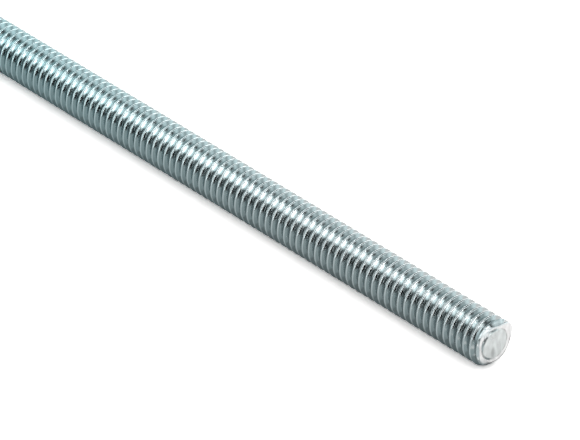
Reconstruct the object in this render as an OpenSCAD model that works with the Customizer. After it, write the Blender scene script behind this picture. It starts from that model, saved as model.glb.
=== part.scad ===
// Threaded rod: one length of steel bar with a coarse M6 thread rolled along all of it, cut
// square and chamfered at both ends. It lies along X, with the origin in its middle, on its
// axis. The grooves are rings of the standard 60 degree form, one for each turn, because the
// thread's lead over one turn is only about three degrees.

/* [Rod] */
// Length over both cut faces
rod_length = 100; // [60:1:300]

/* [Thread] */
// Nominal diameter of the thread
nominal_d = 6; // [5:0.5:12]
// Distance from one crest to the next
pitch = 1; // [0.75:0.05:1.5]
// How far the crests lie under the nominal diameter
crest_allowance = 0.2; // [0:0.01:0.3]
// How far the flanks and the groove's bottom lie under their standard diameters
flank_allowance = 0.08; // [0:0.01:0.15]

/* [Ends] */
// Depth of the chamfer, measured inwards from the crests
chamfer_depth = 0.3; // [0.1:0.05:1.5]
// Slope of the chamfer, from the axis
chamfer_angle = 45; // [30:1:60]

/* [Hidden] */
$fn = 96;

// Standard form: a 60 degree ridge whose sharp height follows from the pitch
flank_angle = 30;
sharp_height = pitch / 2 / tan(flank_angle);
crest_r = (nominal_d - crest_allowance) / 2;
pitch_r = nominal_d / 2 - sharp_height * 3 / 8 - flank_allowance / 2;
root_r = nominal_d / 2 - sharp_height * 17 / 24 - flank_allowance / 2;

// Half widths of one ridge, at its crest and at its foot
crest_half = ridge_half(crest_r);
foot_half = ridge_half(root_r);

// Cut length and chamfer
half_length = rod_length / 2;
chamfer_length = chamfer_depth / tan(chamfer_angle);

// Ridges on each side of the middle one, past the cut faces
ridges_each_way = ceil(half_length / pitch) + 1;
thread_half = (ridges_each_way + 0.5) * pitch;

// Half width of a ridge at radius r: a quarter of the pitch at the pitch radius
function ridge_half(r) = pitch / 4 - (r - pitch_r) * tan(flank_angle);

// The four corners of the ridge whose middle is at y
function ridge(y) = [
    [root_r, y - foot_half],
    [crest_r, y - crest_half],
    [crest_r, y + crest_half],
    [root_r, y + foot_half]
];

// Half section of an endless thread, a little longer than the rod
module thread_section() {
    ridges = [for (i = [-ridges_each_way : ridges_each_way]) each ridge(i * pitch)];
    polygon(concat([[0, -thread_half], [root_r, -thread_half]], ridges,
                   [[root_r, thread_half], [0, thread_half]]));
}

// Half section of the plain bar, cut to length with both ends chamfered
module blank_section() {
    polygon([
        [0, -half_length],
        [crest_r - chamfer_depth, -half_length],
        [crest_r, chamfer_length - half_length],
        [crest_r, half_length - chamfer_length],
        [crest_r - chamfer_depth, half_length],
        [0, half_length]
    ]);
}

// The rod: what both sections share, turned about the axis and laid along X
module threaded_rod() {
    color("#aab4b6")
        rotate([0, 90, 0])
            rotate_extrude()
                intersection() {
                    blank_section();
                    thread_section();
                }
}

threaded_rod();
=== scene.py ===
# %% [markdown]
# # Threaded rod
# A threaded rod is a steel bar with one long screw thread rolled into it from end to end,
# then plated with zinc. It is sold by length and cropped to it, so its ends are rough. The
# CAD model holds the true size and the thread's section as rings. Here the same rod gets
# its real right-hand helix, its cropped ends and its plating.

# %% Load the fixed frame
import math

import bmesh
import bpy
import numpy as np
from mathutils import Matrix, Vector, noise


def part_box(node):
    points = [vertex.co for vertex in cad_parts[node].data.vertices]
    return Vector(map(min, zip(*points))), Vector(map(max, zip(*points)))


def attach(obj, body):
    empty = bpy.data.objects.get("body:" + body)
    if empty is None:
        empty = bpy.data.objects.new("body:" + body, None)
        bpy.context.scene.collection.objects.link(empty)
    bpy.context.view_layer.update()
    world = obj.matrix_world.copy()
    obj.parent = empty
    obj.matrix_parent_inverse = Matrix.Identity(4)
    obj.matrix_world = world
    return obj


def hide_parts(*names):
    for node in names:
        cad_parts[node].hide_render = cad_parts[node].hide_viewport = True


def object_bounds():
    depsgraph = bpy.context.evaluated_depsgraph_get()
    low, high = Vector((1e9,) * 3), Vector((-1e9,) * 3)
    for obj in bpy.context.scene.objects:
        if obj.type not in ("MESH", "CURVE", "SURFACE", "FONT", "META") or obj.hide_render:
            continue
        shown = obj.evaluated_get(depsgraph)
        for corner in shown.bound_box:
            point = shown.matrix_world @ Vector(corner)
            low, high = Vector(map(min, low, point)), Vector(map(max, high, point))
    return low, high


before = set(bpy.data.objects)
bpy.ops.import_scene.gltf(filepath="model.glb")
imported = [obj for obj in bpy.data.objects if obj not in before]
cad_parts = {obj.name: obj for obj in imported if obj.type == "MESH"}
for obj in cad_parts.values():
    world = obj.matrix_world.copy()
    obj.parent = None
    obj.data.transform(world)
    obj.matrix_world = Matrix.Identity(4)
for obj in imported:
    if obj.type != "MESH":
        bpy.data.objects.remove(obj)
cad_low, cad_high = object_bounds()
print("CAD box", [round(v, 5) for v in (*cad_low, *cad_high)])

# %% [markdown]
# ## Sizes
# The length and the thickness come from the CAD node's box. The thread itself is standard:
# ridges at 60 degrees, one millimetre apart. Its pitch line lies three eighths of the sharp
# ridge's height below the full crest, and the groove's round bottom a third of it below that
# line. Typed sizes would be shorter, but they would not follow the CAD model. Only how far
# the crests fall short of full is chosen here.

# %% Driving sizes
ROD = "threaded_rod"
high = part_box(ROD)[1]
half_length = high.x
crest_radius = min(high.y, high.z)
MM = 0.001
PITCH = 1.0 * MM
FLANK = math.radians(30)
CREST_SHORT = 0.06 * MM  # how far the crest falls short of full
sharp_height = PITCH / 2 / math.tan(FLANK)
pitch_radius = crest_radius + CREST_SHORT - sharp_height * 3 / 8
groove_radius = pitch_radius - sharp_height / 3
print("rod", round(2 * half_length / MM, 2), "mm long, crests", round(2 * crest_radius / MM, 3), "mm")
print("grooves", round(2 * groove_radius / MM, 3), "mm, pitch", round(2 * pitch_radius / MM, 3), "mm")

# %% [markdown]
# ## Section of one ridge
# A rolled ridge is never sharp. The die squeezes the steel up between its own teeth, so the
# crest keeps two soft shoulders, and the groove has the round bottom of the die's tooth.
# Both flanks are straight. The section could be a spline drawn by eye, but two arcs and a
# straight line between them are the real form, and each size in it has a name.

# %% Section of one ridge
CREST_ROUND = 0.08 * MM
CREST_STEPS = 3
GROOVE_STEPS = 3


def arc(centre, radius, start, stop, steps):
    """Points (along, out) of an arc; its angles are measured from straight outward."""
    angles = [start + (stop - start) * i / steps for i in range(steps + 1)]
    return [(centre[0] + radius * math.sin(a), centre[1] + radius * math.cos(a)) for a in angles]


def ridge_section():
    """Half of the ridge, from the middle of the groove before it to its crest."""
    gap = PITCH / 4 - (pitch_radius - groove_radius) * math.tan(FLANK)
    groove_round = gap * math.cos(FLANK) / (1 - math.sin(FLANK))
    shoulder_out = crest_radius - CREST_ROUND
    shoulder_along = PITCH / 4 + (pitch_radius - shoulder_out) * math.tan(FLANK)
    shoulder_along -= CREST_ROUND / math.cos(FLANK)
    turn = math.pi / 2 - FLANK
    bottom = (-PITCH / 2, groove_radius + groove_round)
    groove = arc(bottom, groove_round, math.pi, math.pi - turn, GROOVE_STEPS)
    shoulder = arc((-shoulder_along, shoulder_out), CREST_ROUND, -turn, 0, CREST_STEPS)
    print("groove radius", round(groove_round / MM, 3), "mm, flat", round(2 * shoulder_along / MM, 3), "mm")
    return groove + shoulder


rising = ridge_section()
falling = [(-along, out) for along, out in reversed(rising)]
section = np.array(rising + falling[:-1])
print("points in one pitch:", len(section))

# %% [markdown]
# ## The helix
# On the real rod the ridge climbs one pitch with each turn, to the right. A screw modifier
# could sweep the section, but then the turns are hard to join into one watertight skin.
# Here the points come from the helix formula: at each step of the turn the whole section
# moves a little along the bar. The last point of one turn is joined to the first point of
# the next, so the skin has no seam. Rolling never fills the die quite evenly, so the crest's
# height changes a little along the thread. The skin runs a few turns past both ends and is
# cut later.

# %% The helix
STEPS_A_TURN = 56
SPARE_TURNS = 3
START_TURN = 0.29  # how many pitches past the middle the crest crosses the +Y side
CREST_WEAR = 0.006 * MM  # how much the crest loses on average
# The line through the noise that the loss follows: its pace for each step, and its place
WEAR_PACE = 0.11
WEAR_LINE = (0.3, 0.7)


def crest_wear(step):
    """How far rolling falls short of the full crest, which changes slowly along the thread."""
    place = Vector((step * WEAR_PACE, *WEAR_LINE))
    return CREST_WEAR * (1 + noise.noise(place))


def helix_points():
    """The skin's points, one row for each step of the turn."""
    turns = half_length / PITCH + SPARE_TURNS
    steps = np.arange(-round(turns * STEPS_A_TURN), round(turns * STEPS_A_TURN) + 1)
    angle = 2 * math.pi * steps / STEPS_A_TURN
    along = PITCH * (steps / STEPS_A_TURN + START_TURN)
    share = (section[:, 1] - pitch_radius) / (crest_radius - pitch_radius)
    wear = np.array([crest_wear(step) for step in steps])
    out = section[:, 1] - wear[:, None] * share.clip(0)
    x = along[:, None] + section[:, 0]
    y = out * np.cos(angle)[:, None]
    z = out * np.sin(angle)[:, None]
    return np.stack([x, y, z], axis=-1)


def helix_faces(rows, columns):
    """Quads between the rows, and quads from each turn's last point to the next turn's first."""
    index = np.arange(rows * columns).reshape(rows, columns)
    strip = [index[:-1, :-1], index[1:, :-1], index[1:, 1:], index[:-1, 1:]]
    turn = STEPS_A_TURN
    seam = [index[: -1 - turn, -1], index[1:-turn, -1], index[1 + turn :, 0], index[turn:-1, 0]]
    strip = np.stack(strip, axis=-1).reshape(-1, 4)
    return np.concatenate([strip, np.stack(seam, axis=-1)])


def new_object(name, points, faces):
    """A mesh object made from plain lists, linked to the scene."""
    mesh = bpy.data.meshes.new(name)
    mesh.from_pydata(points, [], faces)
    made = bpy.data.objects.new(name, mesh)
    bpy.context.scene.collection.objects.link(made)
    return made


def close_and_orient(thing):
    """Fill the open ends and turn every face outward."""
    skin = bmesh.new()
    skin.from_mesh(thing.data)
    edges = [edge for edge in skin.edges if edge.is_boundary]
    bmesh.ops.holes_fill(skin, edges=edges, sides=0)
    bmesh.ops.triangulate(skin, faces=[face for face in skin.faces if len(face.verts) > 4])
    bmesh.ops.recalc_face_normals(skin, faces=skin.faces)
    skin.to_mesh(thing.data)
    skin.free()


helix = helix_points()
rod = new_object("rolled_rod", helix.reshape(-1, 3).tolist(), helix_faces(*helix.shape[:2]).tolist())
close_and_orient(rod)
print("helix:", len(rod.data.polygons), "faces")

# %% [markdown]
# ## The lip's rim
# A rod like this is cropped between two blades, not sawn. The blades leave a thin lip over
# the last groove, a little three-sided and drawn out into a burr at one place. A circle
# would look turned on a lathe, and an outline drawn by hand is hard to change. So the rim is
# a circle with four waves in its radius, and each wave can be changed by itself.

# %% The lip's rim
# Shares of the crest's radius: the rim's mean, then how it is off centre, oval, three-sided
# and burred; each wave has its count round the bar, its size and where it peaks in degrees
RIM_MEAN = 0.86
RIM_WAVES = [(1, 0.057, 110), (2, 0.03, 15), (3, 0.05, 20), (4, 0.05, 38)]


def rim(angle):
    """How far out the lip reaches at an angle round the bar."""
    waves = sum(size * math.cos(count * (angle - math.radians(peak))) for count, size, peak in RIM_WAVES)
    return crest_radius * (RIM_MEAN + waves)


reach = max(rim(math.radians(degree)) for degree in range(360))
print("rim out to", round(reach / MM, 3), "mm")

# %% [markdown]
# ## The cropped face
# Inside the lip a disc stands slightly proud, more on one side than on the other, with a
# fold beside it. The rim is rolled over, but for one stretch where the face falls away in a
# facet with fine ripples. A flat cap would look like a drawing, and a sculpted one is hard
# to change. So one function says how far back each point of the face lies, and it adds up
# the named forms one after another.

# %% The cropped face
# The proud disc, as shares of the crest's radius: its radius, how far and to which side it
# is off centre, and how wide its edge is; then its height over the lip, the side where that
# is greatest, and how strongly it leans
DISC = 0.57
DISC_OFF = 0.105
DISC_SIDE = math.radians(133)
DISC_EDGE = 0.09
DISC_STEP = 0.14 * MM
STEP_SIDE = math.radians(155)
STEP_LEAN = 0.4
# The fold: its side and width round the disc, its depth, and how far beyond the disc its
# inner and its outer wall start and end
FOLD_SIDE = math.radians(148)
FOLD_WIDTH = math.radians(24)
FOLD_DEPTH = 0.16 * MM
FOLD_INNER = (0.05, 0.08)
FOLD_OUTER = (0.10, 0.14)
# The rolled rim and the rippled facet, where 0 is the middle of the face and 1 its rim
ROLL_WIDTH = 0.09
ROLL_DEPTH = 0.09 * MM
FACET_SIDE = math.radians(121)
FACET_WIDTH = math.radians(20)
FACET_START = 0.80
FACET_DEPTH = 0.40 * MM
RIPPLE = 0.008 * MM
RIPPLES = 11.5
RIPPLE_START = (0.55, 0.65)
# The low waves over the whole face: half their height, and about how many to a radius
WAVE = 0.012 * MM
WAVES = 5


def smooth(value, start, stop):
    """Runs from 0 to 1 while the value goes from start to stop."""
    share = min(max((value - start) / (stop - start), 0), 1)
    return share * share * (3 - 2 * share)


def beside(angle, side, width):
    """Runs from 1 at one side of the face down to 0 on both sides of it."""
    return math.exp(-(((angle - side) / width) ** 2))


def face_depth(share, angle):
    """How far behind the outermost plane the face lies; share is 0 in its middle, 1 at the rim."""
    out = share * rim(angle) / crest_radius
    across = out * math.cos(angle) - DISC_OFF * math.cos(DISC_SIDE)
    up = out * math.sin(angle) - DISC_OFF * math.sin(DISC_SIDE)
    beyond_disc = math.hypot(across, up) - DISC
    height = DISC_STEP * (1 - STEP_LEAN + STEP_LEAN * math.cos(angle - STEP_SIDE))
    step = height * smooth(beyond_disc, 0, DISC_EDGE)
    fold = FOLD_DEPTH * smooth(beyond_disc, *FOLD_INNER) * (1 - smooth(beyond_disc, *FOLD_OUTER))
    fold *= beside(angle, FOLD_SIDE, FOLD_WIDTH)
    into_roll = max(0.0, 1 - (1 - share) / ROLL_WIDTH)
    rolled = ROLL_DEPTH * (1 - math.sqrt(1 - into_roll * into_roll))
    facet = FACET_DEPTH * max(0.0, (share - FACET_START) / (1 - FACET_START))
    facet += RIPPLE * math.cos(2 * math.pi * RIPPLES * share) * smooth(share, *RIPPLE_START)
    near_facet = beside(angle, FACET_SIDE, FACET_WIDTH)
    rolled_or_facet = rolled * (1 - near_facet) + facet * near_facet
    place = WAVES * Vector((math.cos(angle) * out, math.sin(angle) * out, 0))
    return step + fold + rolled_or_facet + WAVE * (1 + noise.noise(place))


deepest = max(face_depth(1, math.radians(degree)) for degree in range(360))
print("face falls back by up to", round(deepest / MM, 3), "mm")

# %% [markdown]
# ## The two lips
# Each lip is a thin plug of metal that closes the last groove. Its face could be a square
# grid, but then the round rim would get a stepped edge. A polar grid has its points in rings
# from the middle out to the rim, so the rim comes out clean. A narrower ring further back
# and a point in its middle close the plug, so that it can be joined to the bar.

# %% The two lips
RINGS = 46
SPOKES = 96
LIP_BACK = 0.65 * MM  # how deep the plug reaches
LIP_TUCK = 0.04 * MM  # how much narrower it is there


def round_point(side, back, out, angle):
    """A point at one of the rod's ends, from its place behind the end, out and round."""
    return (side * (half_length - back), out * math.cos(angle), out * math.sin(angle))


def spokes():
    """The angles of the grid's spokes round the bar."""
    return [2 * math.pi * k / SPOKES for k in range(SPOKES)]


def lip_points(side):
    """The face's grid of points, the same rim further back, and a point that closes the back."""
    points = [round_point(side, face_depth(0, 0), 0, 0)]
    for share in [ring / RINGS for ring in range(1, RINGS + 1)]:
        for angle in spokes():
            points.append(round_point(side, face_depth(share, angle), share * rim(angle), angle))
    for angle in spokes():
        points.append(round_point(side, LIP_BACK, rim(angle) - LIP_TUCK, angle))
    points.append(round_point(side, LIP_BACK, 0, 0))
    return points


def lip_faces(base):
    """A fan round the middle, rings of quads out to the rim and over it, and a fan behind."""
    faces = []
    last = base + 1 + RINGS * SPOKES
    for k in range(SPOKES):
        after = (k + 1) % SPOKES
        faces.append((base, base + 1 + k, base + 1 + after))
        for ring in range(RINGS):
            inner = base + 1 + ring * SPOKES
            outer = inner + SPOKES
            faces.append((inner + k, outer + k, outer + after, inner + after))
        faces.append((last + k, last + SPOKES, last + after))
    return faces


near_lip = lip_points(1)
lips = new_object("lips", near_lip + lip_points(-1), lip_faces(0) + lip_faces(len(near_lip)))
close_and_orient(lips)
print("lips:", len(lips.data.polygons), "faces")

# %% [markdown]
# ## The shaped bar
# Behind the lip the bar's edge is knocked back, which cuts the last crest down. A bevel on
# the finished thread would need its edges picked one by one. It is easier to shape the solid
# that cuts the thread to length: a bar thicker than the thread, with a cone at each end. The
# cones start just inside the lip's rim and follow it round, so no gap opens beside the lip.

# %% The shaped bar
# How much further out than the crest the cones run, how far they fall back for each step
# out, and how far inside the rim and behind the face they start
CHAMFER = 0.3 * MM
CHAMFER_SLOPE = 0.8
CONE_INSIDE = 0.02 * MM
CONE_BEHIND = 0.03 * MM


def bar_points():
    """At each end a middle point, the ring where the cone starts and the ring where it ends."""
    points = []
    for side in (1, -1):
        points.append(round_point(side, LIP_BACK, 0, 0))
        for ring in (0, 1):
            for angle in spokes():
                edge = rim(angle) - CONE_INSIDE
                grown = ring * (crest_radius + CHAMFER - edge)
                back = face_depth(1, angle) + CONE_BEHIND + CHAMFER_SLOPE * grown
                points.append(round_point(side, back, edge + grown, angle))
    return points


def bar_faces():
    """Fans over both ends, the two cones and the long side between them."""
    faces = []
    offset = 1 + 2 * SPOKES
    for k in range(SPOKES):
        after = (k + 1) % SPOKES
        for base in (0, offset):
            edge = base + 1
            faces.append((base, edge + k, edge + after))
            faces.append((edge + k, edge + SPOKES + k, edge + SPOKES + after, edge + after))
        near = 1 + SPOKES
        faces.append((near + k, near + after, offset + near + after, offset + near + k))
    return faces


bar = new_object("bar", bar_points(), bar_faces())
close_and_orient(bar)
print("bar:", len(bar.data.polygons), "faces")

# %% [markdown]
# ## Cutting the thread to length
# What the endless thread and the shaped bar share is the threaded bar. The lips are then
# joined to it, so the rod stays one watertight skin. Faces could be sorted by place after
# the cut, but a Boolean keeps each face's material. So the lips bring their own, the paler
# steel that the blades left bare, and only their thin side walls are plated.

# %% Cutting the thread to length
SIDE_WALL = 0.3  # below this share of X in its normal, a lip's face is a side wall
plating = bpy.data.materials.new("plating")
cut_surface = bpy.data.materials.new("cut_surface")
for thing, slot_index in ((rod, 0), (bar, 0), (lips, 1)):
    thing.data.materials.append(plating)
    thing.data.materials.append(cut_surface)
    slots = [slot_index if abs(face.normal.x) > SIDE_WALL else 0 for face in thing.data.polygons]
    thing.data.polygons.foreach_set("material_index", slots)


def combine_solids(thing, other, operation):
    """Replace the thing's mesh by the outcome of a Boolean, and drop the other solid."""
    solid = thing.modifiers.new("solid", "BOOLEAN")
    solid.operation = operation
    solid.solver = "MANIFOLD"
    solid.material_mode = "INDEX"
    solid.object = other
    graph = bpy.context.evaluated_depsgraph_get()
    mesh = bpy.data.meshes.new_from_object(thing.evaluated_get(graph))
    thing.modifiers.clear()
    thing.data = mesh
    bpy.data.objects.remove(other)


combine_solids(rod, bar, "INTERSECT")
combine_solids(rod, lips, "UNION")
rod.data.name = rod.name
triangles = sum(len(face.vertices) - 2 for face in rod.data.polygons)
cut_faces = sum(face.material_index == 1 for face in rod.data.polygons)
print("rod:", triangles, "triangles,", cut_faces, "faces on the cuts")

# %% [markdown]
# ## Smooth flanks and clean edges
# The flanks are smooth, but the edge between a flank and a cut face is crisp. Shading all
# faces smooth would smear light over that edge. So edges above a chosen angle are marked
# sharp, and weighted normals let the large flanks win over the thin strips on the crest.

# %% Smooth flanks and clean edges
SHARP_EDGE = math.radians(35)
LARGE_FACES_WIN = 100
rod.data.polygons.foreach_set("use_smooth", [True] * len(rod.data.polygons))
rod.data.set_sharp_from_angle(angle=SHARP_EDGE)
weighted = rod.modifiers.new("flat flanks", "WEIGHTED_NORMAL")
weighted.keep_sharp = True
weighted.weight = LARGE_FACES_WIN
sharp_edges = sum(edge.use_edge_sharp for edge in rod.data.edges)
print("sharp edges:", sharp_edges)

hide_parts(ROD)
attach(rod, "root")

# %% [markdown]
# ## A way to write shader maths
# A finish is a small sum: so much colour, less in the grooves, a little noise. Blender
# writes each plus and times as a node, and a long chain of them is hard to read. This class
# wraps one output socket and gives it Python's own operators, so a mask can be written as
# it would be on paper. Every other node comes from one method of the graph.

# %% A way to write shader maths
class Value:
    """One output socket, with arithmetic that adds Math nodes."""

    def __init__(self, graph, socket):
        self.graph = graph
        self.socket = socket

    def math(self, operation, first, second):
        return self.graph.node("ShaderNodeMath", {"operation": operation}, {0: first, 1: second})

    def __add__(self, other):
        return self.math("ADD", self, other)

    def __sub__(self, other):
        return self.math("SUBTRACT", self, other)

    def __rsub__(self, other):
        return self.math("SUBTRACT", other, self)

    def __mul__(self, other):
        return self.math("MULTIPLY", self, other)

    def __abs__(self):
        return self.math("ABSOLUTE", self, 0.0)

    __radd__ = __add__
    __rmul__ = __mul__


class Graph:
    """One node tree, emptied, with a single method that adds nodes to it."""

    def __init__(self, owner):
        owner.use_nodes = True
        self.tree = owner.node_tree
        self.tree.nodes.clear()

    def node(self, kind, settings=None, inputs=None, output=0):
        """A new node: its settings first, then its sockets' values or links."""
        made = self.tree.nodes.new(kind)
        for name, setting in (settings or {}).items():
            setattr(made, name, setting)
        for name, given in (inputs or {}).items():
            if isinstance(given, Value):
                self.tree.links.new(given.socket, made.inputs[name])
            else:
                made.inputs[name].default_value = given
        return Value(self, made.outputs[output]) if made.outputs else made


print("operators: + - * and abs, on sockets and numbers alike")

# %% [markdown]
# ## Where a point lies on the thread
# The finish follows the thread, so the shader needs the same words as the section: where a
# point lies along the bar, and how far out it is, which is the length of its Y and Z. Masks
# by radius find the crests and the grooves all along the helix, and need no unwrapping. A
# texture that is laid out in X and the radius alone forms rings, and that is what the marks
# of the rolling dies look like.

# %% Where a point lies on the thread
def scaled(graph, vector, factor):
    """A colour or vector times a number."""
    return graph.node("ShaderNodeVectorMath", {"operation": "SCALE"}, {0: vector, "Scale": factor})


def length(graph, vector):
    """How long a vector is."""
    return graph.node("ShaderNodeVectorMath", {"operation": "LENGTH"}, {0: vector}, "Value")


def combine(graph, x, y, z):
    """A vector from three values."""
    return graph.node("ShaderNodeCombineXYZ", None, {0: x, 1: y, 2: z})


class Place:
    """The point's place in millimetres, in the words of the thread."""

    def __init__(self, graph):
        metres = graph.node("ShaderNodeTexCoord", None, None, "Object")
        self.point = scaled(graph, metres, 1 / MM)
        split = [graph.node("ShaderNodeSeparateXYZ", None, {0: self.point}, axis) for axis in range(3)]
        self.x, self.y, self.z = split
        self.out = length(graph, combine(graph, 0.0, self.y, self.z))
        self.rings = combine(graph, self.x, self.out, 0.0)


print("crest at", round(crest_radius / MM, 3), "mm out, groove at", round(groove_radius / MM, 3), "mm out")

# %% [markdown]
# ## Masks, noise and metal
# Both finishes of the rod are built alike: a few masks say where a colour lies, noise breaks
# it up, and the sum feeds one metal shader. An image for each finish would have to be drawn
# and unwrapped, while a mask from two numbers can be moved by changing one of them.

# %% Masks, noise and metal
def step_between(graph, value, start, stop):
    """A smooth mask that runs from 0 at start to 1 at stop."""
    settings = {"interpolation_type": "SMOOTHSTEP"}
    inputs = {"Value": value, "From Min": start, "From Max": stop}
    return graph.node("ShaderNodeMapRange", settings, inputs)


def larger(first, second):
    """The larger of two masks at each point."""
    return first.math("MAXIMUM", first, second)


def noise_value(graph, place, scale, detail):
    """Cloudy values round a half; a larger scale makes them finer."""
    inputs = {"Vector": place, "Scale": scale, "Detail": detail}
    return graph.node("ShaderNodeTexNoise", None, inputs)


def colour(red, green, blue):
    """A colour as a socket takes it, with full alpha."""
    return (red, green, blue, 1.0)


def blend(graph, share, first, second, kind="MIX"):
    """Two colours, mixed by a share: a Mix node's inputs 6 and 7, and its output 2."""
    settings = {"data_type": "RGBA", "blend_type": kind}
    return graph.node("ShaderNodeMix", settings, {0: share, 6: first, 7: second}, 2)


def metal(graph, tint, roughness, pattern, strength, depth):
    """A metal surface, with a pattern pressed into it as fine relief."""
    inputs = {"Strength": strength, "Distance": depth, "Height": pattern}
    normal = graph.node("ShaderNodeBump", None, inputs)
    inputs = {"Base Color": tint, "Metallic": 1.0, "Roughness": roughness, "Normal": normal}
    surface = graph.node("ShaderNodeBsdfPrincipled", None, inputs)
    graph.node("ShaderNodeOutputMaterial", None, {"Surface": surface})


print("helpers for both finishes: step_between, larger, noise_value, blend, metal")

# %% [markdown]
# ## Zinc plating
# Bright zinc with a clear bluish passivation. A painted colour cast turns its tint from
# neutral to teal along the bar, towards the far end. The crests are lighter than the flanks,
# partly from burnish by the dies and by handling and partly as a painted highlight along each
# crest, and the grooves are darker. Just behind the crop a band of the thread is painted
# bright, a painted highlight, most of all on the -Y side. A plain metal colour would make the
# thread look cast, so masks by radius and by place carry the change, with fine rings and
# small stains over them.

# %% Zinc plating
# The crests' colour: partly burnish, partly a painted highlight along each crest
CREST_ZINC_AND_HIGHLIGHT = (0.875, 0.91, 0.915)
FLANK_ZINC = (0.497, 0.552, 0.56)
GROOVE_ZINC = (0.322, 0.358, 0.364)
TEAL = (0.80, 0.97, 0.99)
# Each pair is in millimetres and says where a mask starts and where it is full: the painted
# colour cast along X, the crest in from its top and the groove out from its bottom, the
# painted highlight band in from the rod's end, and the places in Y between which that painted
# highlight gets to its brightest
PAINTED_CAST_SPAN = (30.0, -45.0)
CREST_BAND = (0.07, 0.02)
GROOVE_BAND = (0.2, 0.07)
END_HIGHLIGHT_BAND = (0.60, 0.50)
HIGHLIGHT_SIDE = (-0.6, -1.6)
# How strong the painted highlight band is on the +Y side
HIGHLIGHT_LEAST = 0.4  # the mark's strength on the other side
# The dies' rings and the stains: how fine they are, and how many finer layers they have
RINGS_NOISE = (14.0, 3.0)
STAINS_NOISE = (0.9, 4.0)
# What the metal has without them and what each of them adds
ZINC_LEVEL = (0.9, 0.1)
ZINC_ROUGHNESS = (0.13, 0.05)
RING_STRENGTH = 0.25
RING_DEPTH = 0.004 * MM


def zinc_plating(material):
    """Grooves, flanks and crests in three greys, the crests partly a painted highlight, with a painted
    highlight behind the crop, a painted cast along the bar, rings and stains.
    """
    graph = Graph(material)
    place = Place(graph)
    from_top = crest_radius / MM - place.out
    from_bottom = place.out - groove_radius / MM
    from_end = half_length / MM - abs(place.x)
    # The crests are lighter, partly a painted highlight; the grooves are darker
    crest = step_between(graph, from_top, *CREST_BAND)
    groove = step_between(graph, from_bottom, *GROOVE_BAND)
    # A painted highlight band just behind the crop; pressed says where it is strongest, on the -Y side
    end_highlight = step_between(graph, from_end, *END_HIGHLIGHT_BAND)
    pressed = step_between(graph, place.y, *HIGHLIGHT_SIDE)
    # A painted colour cast of the light: teal towards the far end
    painted_cast = step_between(graph, place.x, *PAINTED_CAST_SPAN)
    rings = noise_value(graph, place.rings, *RINGS_NOISE)
    stains = noise_value(graph, place.point, *STAINS_NOISE)

    bright = larger(crest, end_highlight * (HIGHLIGHT_LEAST + (1 - HIGHLIGHT_LEAST) * pressed))
    shade = blend(graph, groove, colour(*FLANK_ZINC), colour(*GROOVE_ZINC))
    shade = blend(graph, bright, shade, colour(*CREST_ZINC_AND_HIGHLIGHT))
    shade = blend(graph, painted_cast, shade, colour(*TEAL), "MULTIPLY")
    plain, marked = ZINC_LEVEL
    lit = scaled(graph, shade, plain + marked * rings + marked * stains)
    smoothest, rougher = ZINC_ROUGHNESS
    rough = smoothest + rougher * rings + rougher * stains
    metal(graph, lit, rough, rings, RING_STRENGTH, RING_DEPTH)


zinc_plating(plating)
print("plating on", sum(face.material_index == 0 for face in rod.data.polygons), "faces")

# %% [markdown]
# ## Cut faces
# The blades leave fine scratches that all run one way, and a cut face is paler and less
# shiny than the rolled flanks. The disc is a little greener and darker than the lip round
# it. The gap between them is painted darker in patches, a painted shade in the fold. A dark
# spot lies low on the disc, and the rim's underside is painted darker, a painted shade under
# the rim. Scratches could be painted by hand, but a stretched noise gives them at any size.
# The masks take the disc's own named sizes, so they follow its shape.

# %% Cut faces
DISC_STEEL = (0.70, 0.75, 0.75)
LIP_STEEL = (0.90, 0.92, 0.925)
# In millimetres beyond the disc's edge: where the lip's paler metal starts and is full, and
# where the gap starts, is full, starts to end and ends
PALER = (0.10, 0.3)
GAP_INNER = (0.08, 0.18)
GAP_OUTER = (0.22, 0.36)
# Painted shade in the gap: how dark it is, and from which values of the stains it starts and is full
GAP_SHADE = 0.45
GAP_SHADE_STAINS = (0.40, 0.62)
# The painted shade on the rim's underside: how dark, which way it lies in Y and Z, and in
# millimetres how far that way it starts and is full, and how far out
UNDERSIDE_SHADE = 0.58
UNDER_Y = 0.42
UNDER_Z = -0.91
UNDERSIDE = (0.6, 1.4)
RIM_BAND = (2.0, 2.12)
# A dark spot low on the disc: how dark it is, its place in millimetres, how many times
# taller than wide it is, and how far from its middle it starts to end and ends
SPOT_DARK = 0.3
SPOT_Y = -0.48
SPOT_Z = -0.75
SPOT_TALL = 2.4
SPOT_EDGE = (0.3, 0.95)
# The scratches run up: they are finer across than along. Then how fine each noise is, and
# how many finer layers it has
ACROSS = 1.3
ALONG = 0.3
SCRATCH_NOISE = (1.6, 4.0)
CUT_STAINS_NOISE = (1.1, 3.0)
# The metal's level without them, and what the scratches and the stains add to it; then its
# roughness without stains, and what they add
CUT_LEVEL = (0.50, 0.6, 0.36)
CUT_ROUGHNESS = (0.24, 0.1)
SCRATCH_STRENGTH = 0.35
SCRATCH_DEPTH = 0.01 * MM


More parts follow.
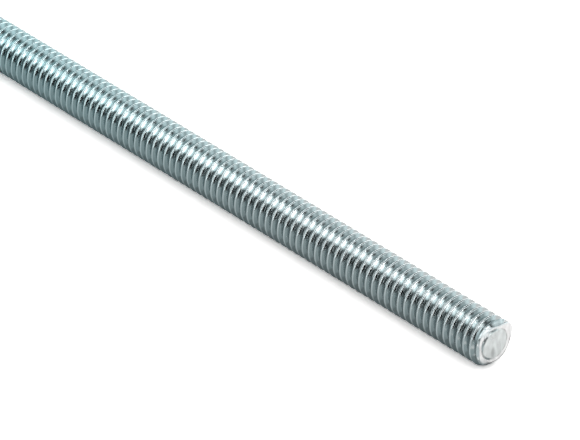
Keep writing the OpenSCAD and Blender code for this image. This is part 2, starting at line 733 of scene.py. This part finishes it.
def cut_face(material):
    """Bare steel: the disc and the lip round it, with painted shade in the gap, a dark spot and painted
    shade under the rim.
    """
    graph = Graph(material)
    place = Place(graph)
    off = DISC_OFF * crest_radius / MM
    across = place.y - off * math.cos(DISC_SIDE)
    up = place.z - off * math.sin(DISC_SIDE)
    beyond_disc = length(graph, combine(graph, 0.0, across, up)) - DISC * crest_radius / MM
    stretched = combine(graph, 0.0, ACROSS * place.y, ALONG * place.z)
    scratches = noise_value(graph, stretched, *SCRATCH_NOISE)
    stains = noise_value(graph, place.point, *CUT_STAINS_NOISE)
    on_lip = step_between(graph, beyond_disc, *PALER)
    in_gap = step_between(graph, beyond_disc, *GAP_INNER)
    in_gap = in_gap * (1 - step_between(graph, beyond_disc, *GAP_OUTER))
    # Painted shade in the fold between the disc and the lip, in patches
    gap_shade = GAP_SHADE * in_gap * step_between(graph, stains, *GAP_SHADE_STAINS)
    # Painted shade on the rim's underside
    under = step_between(graph, UNDER_Y * place.y + UNDER_Z * place.z, *UNDERSIDE)
    underside_shade = UNDERSIDE_SHADE * under * step_between(graph, place.out, *RIM_BAND)
    # A dark spot low on the disc, in the colour only
    to_spot = combine(graph, 0.0, SPOT_TALL * (place.y - SPOT_Y), place.z - SPOT_Z)
    dark_spot = SPOT_DARK * (1 - step_between(graph, length(graph, to_spot), *SPOT_EDGE))

    shade = blend(graph, on_lip, colour(*DISC_STEEL), colour(*LIP_STEEL))
    plain, scratched, stained = CUT_LEVEL
    level = plain + scratched * scratches + stained * stains
    lit = scaled(graph, shade, level * (1 - gap_shade) * (1 - dark_spot) * (1 - underside_shade))
    smoothest, rougher = CUT_ROUGHNESS
    metal(graph, lit, smoothest + rougher * stains, scratches, SCRATCH_STRENGTH, SCRATCH_DEPTH)


cut_face(cut_surface)
print("cut finish on", cut_faces, "faces")

# %% [markdown]
# ## Floor and world
# The rod lies on a large white table under even light. More light would bleach the metal
# along with the table, so the light stays plain, and the table's own colour is raised where
# it is seen directly, and a little where it is seen in gloss or through glass. White paper
# is a little warm, and the rod's soft shadow stays on it.

# %% Floor and world
FLOOR_HALF = 6.0
PAPER = (1.0, 0.975, 0.965)
# The table's white as the light finds it, and what is added where it is seen directly, and
# where it is seen in gloss or through glass
FLOOR_WHITE = 0.8
SEEN_WHITE = 1.2
MIRRORED_WHITE = 0.2


def seen_by(graph):
    """Three values, each 1 for one kind of ray: from the camera, off gloss, through glass."""
    names = ("Is Camera Ray", "Is Glossy Ray", "Is Transmission Ray")
    return [graph.node("ShaderNodeLightPath", None, None, name) for name in names]


def floor_material():
    """White paper, which is plain to the light and brighter where it is seen."""
    material = bpy.data.materials.new("table_white")
    graph = Graph(material)
    camera, glossy, through = seen_by(graph)
    white = FLOOR_WHITE + SEEN_WHITE * camera + MIRRORED_WHITE * (glossy + through)
    surface = graph.node("ShaderNodeBsdfDiffuse", None, {"Color": scaled(graph, PAPER, white)})
    graph.node("ShaderNodeOutputMaterial", None, {"Surface": surface})
    return material


def flat_sheet(name, left, right, front, back, height):
    """One level rectangle."""
    corners = [(left, front), (right, front), (right, back), (left, back)]
    return new_object(name, [(x, y, height) for x, y in corners], [(0, 1, 2, 3)])


floor = flat_sheet("table", -FLOOR_HALF, FLOOR_HALF, -FLOOR_HALF, FLOOR_HALF, cad_low.z)
floor.data.materials.append(floor_material())

world = bpy.data.worlds.new("studio")
bpy.context.scene.world = world
sky = Graph(world)
background = sky.node("ShaderNodeBackground", None, {"Color": colour(1, 1, 1), "Strength": 1.0})
sky.node("ShaderNodeOutputWorld", None, {"Surface": background})
print("table at", round(cad_low.z / MM, 2), "mm")

# %% [markdown]
# ## Soft boxes
# Polished metal shows the room, so a thread only reads when bright and dark panels stand
# round it. A studio hangs a tent of dark, cool cloth over the table and lets white lamps
# shine through it. Area lamps would also light the table and throw shadows of their own, so
# each lamp is only a soft patch in the tent's brightness: a list says where they stand.

# %% Soft boxes
# Azimuth and elevation of the middle, half width and half height in degrees, brightness
SOFT_BOXES = [
    (270, 77, 50, 15, 2.8),  # large panel high over the front
    (10, 70, 35, 2, 14.5),  # strip lamp high beyond the near end
    (165, 88, 45, 3, 14.0),  # strip lamp overhead
    (290, 36, 6, 20, 5.5),  # upright strip beside the camera
    (200, 22, 40, 20, 0.7),  # wall beyond the far end
    (60, 60, 22, 43, 1.3),  # tall wall behind
    (155, 8, 27, 16, 2.4),  # low panel behind the far end
    (0, 25, 19, 1, 11.0),  # strip lamp low beyond the near end
    (70, -4, 63, 16, 1.2),  # foot of the back wall
    (180, 37, 40, 22, 0.5),  # upper wall beyond the far end
    (260, 0, 40, 15, 0.45),  # foot of the front wall
    (0, 90, 180, 30, 0.23),  # roof
]
# How many degrees a box's brightness takes to fall off, at its sides and at its top and foot
EDGE_AROUND = 17.0
EDGE_UP = 9.0


def window(distance, half, edge):
    """1 inside a soft box, falling softly to 0 over its edge."""
    return smooth(half - abs(distance), -edge / 2, edge / 2)


def tent_level(azimuth, elevation):
    """The brightness of the cloth in one direction: what all the boxes give together."""
    total = 0.0
    for middle, height, half_width, half_height, level in SOFT_BOXES:
        turned = (azimuth - middle + 180) % 360 - 180
        across = window(turned, half_width, EDGE_AROUND)
        total += level * across * window(elevation - height, half_height, EDGE_UP)
    return total


print("soft boxes:", len(SOFT_BOXES), "and straight up the cloth's level is", round(tent_level(0, 90), 2))

# %% [markdown]
# ## Light tent
# The cloth could be a ring of separate panels, but gaps between them would show as dark
# bars in the metal. So it is one dome, and each of its points keeps its brightness as an
# attribute, which the material reads. Only reflections see it, so it lights nothing else.

# %% Light tent
TENT_RADIUS = 1.0
TENT_AROUND = 144
TENT_UP = 45
COOL = (0.90, 1.02, 1.04)
LAMP_LEVELS = (1.0, 3.5)  # from which level the cool cloth turns white, and where it is white


def tent():
    """The dome, with each point's brightness kept as an attribute."""
    points = []
    levels = []
    for row in range(TENT_UP + 1):
        elevation = 90 * row / TENT_UP
        height = cad_low.z + TENT_RADIUS * math.sin(math.radians(elevation))
        circle = TENT_RADIUS * math.cos(math.radians(elevation))
        for column in range(TENT_AROUND):
            azimuth = 360 * column / TENT_AROUND
            turned = math.radians(azimuth)
            points.append((circle * math.cos(turned), circle * math.sin(turned), height))
            levels.append(tent_level(azimuth, elevation))
    faces = []
    for row in range(TENT_UP):
        for column in range(TENT_AROUND):
            after = (column + 1) % TENT_AROUND
            base = row * TENT_AROUND
            above = base + TENT_AROUND
            faces.append((base + column, base + after, above + after, above + column))
    made = new_object("light_tent", points, faces)
    layer = made.data.attributes.new("level", "FLOAT", "POINT")
    layer.data.foreach_set("value", levels)
    return made


def only_in_reflections(thing):
    """Part of the stage that neither the camera nor the light sees."""
    thing.visible_camera = False
    thing.visible_diffuse = False
    thing.visible_transmission = False
    thing.visible_volume_scatter = False
    thing.visible_shadow = False


def tent_material():
    """Glowing cloth: as bright as the attribute says, cool where it is dim, white at a lamp."""
    material = bpy.data.materials.new("tent_light")
    material.cycles.emission_sampling = "NONE"
    graph = Graph(material)
    level = graph.node("ShaderNodeAttribute", {"attribute_name": "level"}, None, "Fac")
    lamp = step_between(graph, level, *LAMP_LEVELS)
    tint = blend(graph, lamp, colour(*COOL), colour(1, 1, 1))
    surface = graph.node("ShaderNodeEmission", None, {"Color": scaled(graph, tint, level), "Strength": 1.0})
    graph.node("ShaderNodeOutputMaterial", None, {"Surface": surface})
    return material


dome = tent()
dome.data.materials.append(tent_material())
only_in_reflections(dome)
print("tent:", len(dome.data.polygons), "faces")

# %% [markdown]
# ## Grey cards
# The rod's front half looks down at the table beside it. Three grey cards lie there, a hair
# above the table, and keep that half darker than the back. The one under the rod's side is
# the darkest, a painted shadow of the rod on the table, so that the thread gets dark as it
# turns under. The widest one runs on well past the rod's end, because an edge beside the end
# would show in the last flanks as a white patch. A darker table would grey its own shadow, so
# only reflections see the cards.

# %% Grey cards
CARD_LIFT = 0.02 * MM
CARD_START = -500 * MM
# Each card's front and back edge in Y, how far past the rod's end it runs, and its grey
CARDS = [
    (-500 * MM, -8 * MM, 450 * MM, 0.49),
    (-8 * MM, -3.5 * MM, 6 * MM, 0.51),
    # The darkest card: a painted shadow under the rod's side
    (-3.5 * MM, 0, 1.2 * MM, 0.35),
]


def card_material(grey):
    """Matt card in a cool grey."""
    material = bpy.data.materials.new("card_grey")
    graph = Graph(material)
    surface = graph.node("ShaderNodeBsdfDiffuse", None, {"Color": colour(*[grey * part for part in COOL])})
    graph.node("ShaderNodeOutputMaterial", None, {"Surface": surface})
    return material


for front, behind, past_end, grey in CARDS:
    card = flat_sheet("grey_card", CARD_START, half_length + past_end, front, behind, cad_low.z + CARD_LIFT)
    card.data.materials.append(card_material(grey))
    only_in_reflections(card)
print("cards:", len(CARDS))

# %% [markdown]
# ## Camera
# The camera looks down at the near half from beyond the end and slantwise along the rod, so
# that the far end runs out of view. A short lens from close by would swell the near end. A
# long lens from further off keeps the thread's pitch nearly even.

# %% Camera
AZIMUTH = math.radians(46.66)
ELEVATION = math.radians(34.93)
DISTANCE = 0.4449
AIM_FROM_END = 32.2 * MM
# The lens in millimetres, as Blender takes it, and nothing nearer than a centimetre is drawn
FOCAL_LENGTH = 246.7
SENSOR_WIDTH = 36.0
CLIP_START = 0.01
aim = Vector((half_length - AIM_FROM_END, 0, 0))
back = Vector((math.sin(AZIMUTH), -math.cos(AZIMUTH), math.tan(ELEVATION))).normalized()
lens = bpy.data.cameras.new("camera")
lens.sensor_width = SENSOR_WIDTH
lens.lens = FOCAL_LENGTH
lens.clip_start = CLIP_START
camera_object = bpy.data.objects.new("camera", lens)
camera_object.location = aim + DISTANCE * back
camera_object.rotation_euler = (-back).to_track_quat("-Z", "Y").to_euler()
bpy.context.scene.collection.objects.link(camera_object)
bpy.context.scene.camera = camera_object
bpy.context.scene.view_settings.view_transform = "Standard"
print("camera at", [round(v, 4) for v in camera_object.location])
